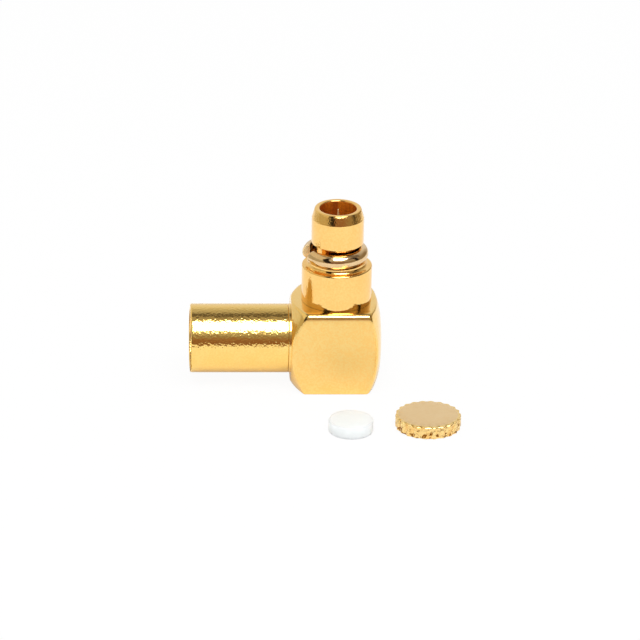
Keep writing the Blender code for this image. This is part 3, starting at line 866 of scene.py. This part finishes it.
def contact_plate():
    """Gold of the outer contact: bright outside, painted shade in deep red-brown down the bore with orange
    streaks of painted reflection, rough-turned taper.
    """
    material = plated("contact_gold_plate", CONTACT_GOLD, DEEP_CONTACT_GOLD,
                      roughness=0.09, grain_depth=0.003, grain=13.0)
    tree, shader, place = parts_of(material)
    inside = falling(tree, reach_from(tree, place, centre_of()), *BORE_SIDE)
    bore = product(tree, inside, falling(tree, height_of(tree, place), *BORE_TOP))
    # Painted shade darkens the bore to red-brown, and orange streaks on it are a painted reflection
    remix(tree, shader.inputs["Base Color"], bore, BORE_PAINTED_SHADE)
    drawn = vector_arithmetic(tree, "MULTIPLY", place, STREAK_STRETCH)
    painted_reflection_streaks = rising(tree, noise_field(tree, drawn, STREAK_GRAIN), *STREAK_LEVELS)
    remix(tree, shader.inputs["Base Color"], product(tree, bore, painted_reflection_streaks), BORE_PAINTED_REFLECTION)
    remix(tree, shader.inputs["Metallic"], bore, BORE_METALLIC)
    remix(tree, shader.inputs["Roughness"], bore, BORE_ROUGHNESS)
    foot, head = TIP_Z - RIM_TAPER_LENGTH, TIP_Z - RIM_EDGE_ROUND
    taper = window(tree, height_of(tree, place), foot, head, TURNED_SOFTNESS)
    turned = product(tree, taper, noise_field(tree, place, TURNED_GRAIN, detail=1.0))
    smooth = shader.inputs["Normal"].links[0].from_socket
    tree.links.new(bumped(tree, turned, TURNED_DEPTH, smooth), shader.inputs["Normal"])
    return material


def block_plate():
    """Gold of the block: bright on the turned faces, satin on the drawn front and back flats."""
    material = plated("bright_gold_plate", GOLD, DEEP_GOLD, roughness=0.12, grain_depth=0.004)
    tree, shader, place = parts_of(material)
    away = vector_arithmetic(tree, "SUBTRACT", place, (0.0, AXIS.y / MM, 0.0))
    from_axis = arithmetic(tree, "ABSOLUTE", coordinates(tree, away)[1])
    remix(tree, shader.inputs["Roughness"], rising(tree, from_axis, *FLAT_EDGE), FLAT_ROUGHNESS)
    return material


def spring_plate():
    """Pale nickel-gold of the snap ring, duller where its two ends are sawn."""
    material = plated("nickel_gold_spring", NICKEL, DEEP_NICKEL, roughness=0.09, grain_depth=0.0025)
    tree, shader, place = parts_of(material)
    away = vector_arithmetic(tree, "SUBTRACT", place, centre_of((RING_X, 0.0)))
    cos_gap, sin_gap = math.cos(RING_GAP_HEADING), math.sin(RING_GAP_HEADING)
    out = vector_arithmetic(tree, "DOT_PRODUCT", away, (cos_gap, sin_gap, 0.0))
    across = vector_arithmetic(tree, "DOT_PRODUCT", away, (-sin_gap, cos_gap, 0.0))
    near_gap = falling(tree, arithmetic(tree, "ABSOLUTE", across), *SAWN_ACROSS)
    sawn = product(tree, rising(tree, out, *SAWN_OUT), near_gap)
    remix(tree, shader.inputs["Base Color"], sawn, SAWN_METAL)
    remix(tree, shader.inputs["Metallic"], sawn, SAWN_METALLIC)
    remix(tree, shader.inputs["Roughness"], sawn, SAWN_ROUGHNESS)
    return material


def ferrule_plate():
    """Satin gold of the ferrule."""
    return plated("satin_gold_plate", SATIN, DEEP_SATIN, roughness=0.06, grain_depth=0.0088, grain=12.5)


def pin_plate():
    """Pale gold of the centre contact, dulled because so little light comes down the bore."""
    material = plated("pin_gold_plate", PIN_GOLD, DEEP_PIN_GOLD, roughness=0.30, grain_depth=0.002)
    parts_of(material)[1].inputs["Metallic"].default_value = PIN_METALLIC
    return material


def cap_plate():
    """Pale matte gold on the cap's top, brighter and speckled on its rolled side, with painted shade in
    dark bands down the teeth and in pits that thin out higher up.
    """
    material = surface("matte_pale_gold_plate", 1.0)
    tree, shader, place = parts_of(material)
    tone = mapped(tree, noise_field(tree, place, CAP_TONE_GRAIN), 0.0, 1.0)
    tree.links.new(blend_colours(tree, tone, PALE, DEEP_PALE), shader.inputs["Base Color"])
    gloss = mapped(tree, noise_field(tree, place, CAP_GLOSS_GRAIN, detail=3.0), *CAP_TOP_ROUGHNESS)
    tree.links.new(gloss, shader.inputs["Roughness"])
    reach = reach_from(tree, place, centre_of(CAP_PLACE))
    height = height_of(tree, place)
    rim = rising(tree, reach, *CAP_RIM_EDGE)
    side = rising(tree, reach, *CAP_SIDE_EDGE)
    drawn = vector_arithmetic(tree, "MULTIPLY", place, CAP_RIB_STRETCH)
    rib_shade = rising(tree, noise_field(tree, drawn, CAP_RIB_GRAIN), *CAP_RIB_LEVELS)
    spots = rising(tree, noise_field(tree, place, CAP_PIT_GRAIN), *CAP_PIT_LEVELS)
    low_down = mapped(tree, height, 1.0, CAP_PIT_UPPER_SHARE, *CAP_PIT_HEIGHTS)
    # Painted shade in bands down the teeth and in pits, fewer higher up
    pit_shade = product(tree, product(tree, side, spots), low_down)
    remix(tree, shader.inputs["Base Color"], rim, CAP_SIDE)
    remix(tree, shader.inputs["Base Color"], product(tree, side, rib_shade), CAP_RIB_PAINTED_SHADE)
    remix(tree, shader.inputs["Base Color"], pit_shade, CAP_PIT_PAINTED_SHADE)
    remix(tree, shader.inputs["Roughness"], rim, CAP_SIDE_ROUGHNESS)
    fine = bumped(tree, noise_field(tree, place, CAP_FINE_GRAIN, detail=3.0), CAP_FINE_DEPTH)
    below_lip = product(tree, side, falling(tree, height, *CAP_LIP_EDGE))
    rough = product(tree, noise_field(tree, place, CAP_ROUGH_GRAIN, detail=3.0), below_lip)
    tree.links.new(bumped(tree, rough, CAP_ROUGH_DEPTH, fine), shader.inputs["Normal"])
    return material


def fluoropolymer():
    """White plastic that lets a little light through, with painted shade greying the loose disc's upper
    rim.
    """
    material = surface("white_fluoropolymer", 0.0)
    tree, shader, place = parts_of(material)
    tone = mapped(tree, noise_field(tree, place, MILK_TONE_GRAIN), 0.0, 1.0)
    tree.links.new(blend_colours(tree, tone, MILK, DEEP_MILK), shader.inputs["Base Color"])
    reach = reach_from(tree, place, centre_of(DISC_PLACE))
    rim = window(tree, reach, DISC_RIM_INNER, DISC_RIM_OUTER, DISC_RIM_SOFTNESS)
    upper = rising(tree, height_of(tree, place), *DISC_RIM_HEIGHTS)
    # Painted shade greys the disc's upper rim
    remix(tree, shader.inputs["Base Color"], product(tree, rim, upper), DISC_RIM_PAINTED_SHADE)
    shader.inputs["Subsurface Weight"].default_value = MILK_SCATTER_WEIGHT
    shader.inputs["Subsurface Radius"].default_value = (MILK_SCATTER_REACH * MM,) * 3
    shader.inputs["Subsurface Scale"].default_value = 1.0
    gloss = mapped(tree, noise_field(tree, place, MILK_GLOSS_GRAIN), *MILK_ROUGHNESS)
    tree.links.new(gloss, shader.inputs["Roughness"])
    grain = bumped(tree, noise_field(tree, place, MILK_GRAIN, detail=3.0), MILK_GRAIN_DEPTH)
    tree.links.new(grain, shader.inputs["Normal"])
    return material


# Studio

def camera_axes():
    """Right, up and forward of the camera in the world."""
    sin_f, cos_f = math.sin(CAMERA_FALL), math.cos(CAMERA_FALL)
    sin_y, cos_y = math.sin(CAMERA_YAW), math.cos(CAMERA_YAW)
    forward = Vector((-sin_y * cos_f, cos_y * cos_f, -sin_f))
    level = Vector((cos_y, sin_y, 0.0))
    lifted = Vector((-sin_y * sin_f, cos_y * sin_f, cos_f))
    right = level * math.cos(CAMERA_ROLL) + lifted * math.sin(CAMERA_ROLL)
    up = lifted * math.cos(CAMERA_ROLL) - level * math.sin(CAMERA_ROLL)
    return right, up, forward


def add_camera():
    """Camera that puts the aimed point on its pixel."""
    right, up, forward = camera_axes()
    aside = (IMAGE_SIDE / 2 - AIM_PIXEL[0]) / PIXELS_PER_MM
    above = (AIM_PIXEL[1] - IMAGE_SIDE / 2) / PIXELS_PER_MM
    target = Vector((0.0, 0.0, AIM_HEIGHT)) + right * aside + up * above
    place = AXIS + (target - forward * CAMERA_DISTANCE) * MM
    data = bpy.data.cameras.new("camera")
    data.sensor_width = SENSOR_WIDTH
    data.lens = SENSOR_WIDTH * CAMERA_DISTANCE * PIXELS_PER_MM / IMAGE_SIDE
    data.clip_start = CAMERA_NEAR * MM
    data.clip_end = CAMERA_FAR * MM
    camera = bpy.data.objects.new("camera", data)
    rotation = Matrix((right, up, -forward)).transposed().to_4x4()
    camera.matrix_world = Matrix.Translation(place) @ rotation
    bpy.context.scene.collection.objects.link(camera)
    bpy.context.scene.camera = camera


def flat_sheet(name, material_name, points):
    """Level sheet through points in the studio, and the empty node tree of its material."""
    mesh = bpy.data.meshes.new(name)
    mesh.from_pydata([AXIS + Vector(point) * MM for point in points], [], [tuple(range(len(points)))])
    sheet = bpy.data.objects.new(name, mesh)
    bpy.context.scene.collection.objects.link(sheet)
    material = bpy.data.materials.new(material_name)
    material.use_nodes = True
    material.node_tree.nodes.clear()
    mesh.materials.append(material)
    return sheet, material.node_tree


def glow_of(tree, colour):
    glow = add_node(tree, "ShaderNodeEmission")
    glow.inputs["Color"].default_value = (*colour, 1.0)
    glow.inputs["Strength"].default_value = 1.0
    return glow.outputs[0]


def mix_shaders(tree, factor, first, second):
    blend = add_node(tree, "ShaderNodeMixShader")
    for socket, value in zip(blend.inputs, (factor, first, second)):
        tree.links.new(value, socket)
    return blend.outputs[0]


def add_floor():
    """White table top, a little lifted where it is seen or mirrored, with the shadows kept."""
    angles = [2 * math.pi * k / FLOOR_STEPS for k in range(FLOOR_STEPS)]
    rim = [(FLOOR_RADIUS * math.cos(angle), FLOOR_RADIUS * math.sin(angle), 0.0) for angle in angles]
    floor, tree = flat_sheet("table_top", "white_table", rim)
    diffuse = add_node(tree, "ShaderNodeBsdfDiffuse")
    diffuse.inputs["Color"].default_value = (FLOOR_WHITE, FLOOR_WHITE, FLOOR_WHITE, 1.0)
    path = add_node(tree, "ShaderNodeLightPath")
    seen = product(tree, path.outputs["Is Camera Ray"], SEEN_LIFT)
    either = arithmetic(tree, "MAXIMUM", path.outputs["Is Glossy Ray"], path.outputs["Is Transmission Ray"])
    lift = arithmetic(tree, "MAXIMUM", seen, product(tree, either, MIRRORED_LIFT))
    output = add_node(tree, "ShaderNodeOutputMaterial")
    lifted = mix_shaders(tree, lift, diffuse.outputs[0], glow_of(tree, (1.0, 1.0, 1.0)))
    tree.links.new(lifted, output.inputs["Surface"])


def add_painted_shadow():
    """Glowing brown sheet of painted shadow on the table, which only the metal's reflections see."""
    corners = [(x, y, PAINTED_SHADOW_HEIGHT) for x, y in PAINTED_SHADOW_CORNERS]
    shadow_sheet, tree = flat_sheet("painted_shadow_sheet", "painted_shadow_sheet", corners)
    output = add_node(tree, "ShaderNodeOutputMaterial")
    # Painted shadow: the sheet glows brown where the table lies in the plug's shade
    tree.links.new(glow_of(tree, PAINTED_SHADOW_BROWN), output.inputs["Surface"])
    shadow_sheet.visible_camera = False
    shadow_sheet.visible_diffuse = False
    shadow_sheet.visible_shadow = False


def add_lamp(name, place, size, radiance, mirrored):
    """Level rectangle of light, seen only as a reflection in metal or lighting only what isn't mirrored."""
    data = bpy.data.lights.new(name, "AREA")
    data.shape = "RECTANGLE"
    data.size, data.size_y = size[0] * MM, size[1] * MM
    data.energy = radiance * math.pi * data.size * data.size_y
    lamp = bpy.data.objects.new(name, data)
    lamp.location = AXIS + Vector(place) * MM
    lamp.visible_camera = False
    lamp.visible_glossy = mirrored
    lamp.visible_diffuse = not mirrored
    bpy.context.scene.collection.objects.link(lamp)


def add_lamps():
    """Softbox above the front right that the metal shows, and an even light from above."""
    place = ((SOFTBOX_LEFT + SOFTBOX_RIGHT) / 2 * SOFTBOX_HEIGHT,
             (SOFTBOX_FRONT + SOFTBOX_BACK) / 2 * SOFTBOX_HEIGHT, SOFTBOX_HEIGHT)
    size = ((SOFTBOX_RIGHT - SOFTBOX_LEFT) * SOFTBOX_HEIGHT,
            (SOFTBOX_BACK - SOFTBOX_FRONT) * SOFTBOX_HEIGHT)
    add_lamp("softbox", place, size, SOFTBOX_RADIANCE, True)
    add_lamp("top_light", TOP_LIGHT_PLACE, TOP_LIGHT_SIZE, TOP_LIGHT_RADIANCE, False)


def wall_ramp(tree, over):
    """Colour of the walls by the angle over the top from the front horizon."""
    first, last = WALLS[0][0], WALLS[-1][0]
    ramp = add_node(tree, "ShaderNodeValToRGB")
    elements = ramp.color_ramp.elements
    while len(elements) < len(WALLS):
        elements.new(0.5)
    for element, (angle, colour) in zip(elements, WALLS):
        element.position = (angle - first) / (last - first)
        element.color = (*colour, 1.0)
    tree.links.new(rising(tree, over, math.radians(first), math.radians(last)), ramp.inputs[0])
    return ramp.outputs[0]


def add_walls():
    """World light: brown low in front, a dark band overhead, light behind, plain white to the camera."""
    world = bpy.data.worlds.new("studio")
    bpy.context.scene.world = world
    world.use_nodes = True
    tree = world.node_tree
    tree.nodes.clear()
    heading = add_node(tree, "ShaderNodeTexCoord")
    x, y, z = coordinates(tree, heading.outputs["Generated"])
    front = product(tree, y, -1.0)
    background = add_node(tree, "ShaderNodeBackground")
    shown = background.inputs["Color"]
    tree.links.new(wall_ramp(tree, arithmetic(tree, "ARCTAN2", z, front)), shown)

    left = mapped(tree, x, LEFT_BACK_SHARE, 0.0, *LEFT_BACK_ASIDE)
    left_back = product(tree, falling(tree, front, *LEFT_BACK_FRONT), left)
    elsewhere = arithmetic(tree, "SUBTRACT", 1.0, left_back)
    low_down = product(tree, falling(tree, z, *SIDE_WALL_HEIGHTS), elsewhere)
    for sign, colour in ((-1.0, LEFT_WALL), (1.0, RIGHT_WALL)):
        aside = rising(tree, product(tree, x, sign), *SIDE_WALL_ASIDE)
        remix(tree, shown, product(tree, aside, low_down), colour)

    high = window(tree, z, RIGHT_CEILING_FOOT, RIGHT_CEILING_HEAD, RIGHT_CEILING_SOFTNESS)
    high = product(tree, high, rising(tree, front, *RIGHT_CEILING_FRONT))
    remix(tree, shown, product(tree, rising(tree, x, *RIGHT_CEILING_ASIDE), high), RIGHT_CEILING)
    overhead = rising(tree, z, *LEFT_CEILING_HEIGHTS)
    remix(tree, shown, product(tree, falling(tree, x, *LEFT_CEILING_ASIDE), overhead), LEFT_CEILING)

    turn = arithmetic(tree, "ARCTAN2", x, front)
    for middle, half, lowest, highest, lean in DARK_STANDS:
        stood = arithmetic(tree, "SUBTRACT", turn, product(tree, z, math.radians(lean)))
        first, last = math.radians(middle - half), math.radians(middle + half)
        across = window(tree, stood, first, last, STAND_SIDE_SOFTNESS)
        foot, head = math.sin(math.radians(lowest)), math.sin(math.radians(highest))
        upright = window(tree, z, foot, head, STAND_END_SOFTNESS)
        remix(tree, shown, product(tree, across, upright), DARK_STAND)

    path = add_node(tree, "ShaderNodeLightPath")
    remix(tree, shown, path.outputs["Is Diffuse Ray"], (NEUTRAL_FILL,) * 3)
    plain = add_node(tree, "ShaderNodeBackground")
    plain.inputs["Color"].default_value = (1.0, 1.0, 1.0, 1.0)
    output = add_node(tree, "ShaderNodeOutputWorld")
    lit = mix_shaders(tree, path.outputs["Is Camera Ray"], background.outputs[0], plain.outputs[0])
    tree.links.new(lit, output.inputs["Surface"])


# Assembly

bright_gold = block_plate()
contact_gold = contact_plate()
satin_gold = ferrule_plate()
cap_gold = cap_plate()
spring_metal = spring_plate()
white = fluoropolymer()
pin_gold = pin_plate()

finish_piece(build_block(), bright_gold, "housing_block", "plug")
finish_piece(build_contact(), contact_gold, "outer_contact", "plug")
finish_piece(build_bush(), white, "front_insulator", "plug")
finish_piece(build_pin(), pin_gold, "center_contact", "plug")
finish_piece(build_ring(), spring_metal, "snap_ring", "ring")
finish_piece(build_ferrule(), satin_gold, "crimp_ferrule", "ferrule")
finish_piece(build_disc(), white, "insulator_disc", "plug")
finish_piece(build_cap(), cap_gold, "rear_cap", "plug")

add_camera()
add_floor()
add_lamps()
add_painted_shadow()
add_walls()
bpy.context.scene.view_settings.view_transform = "Standard"
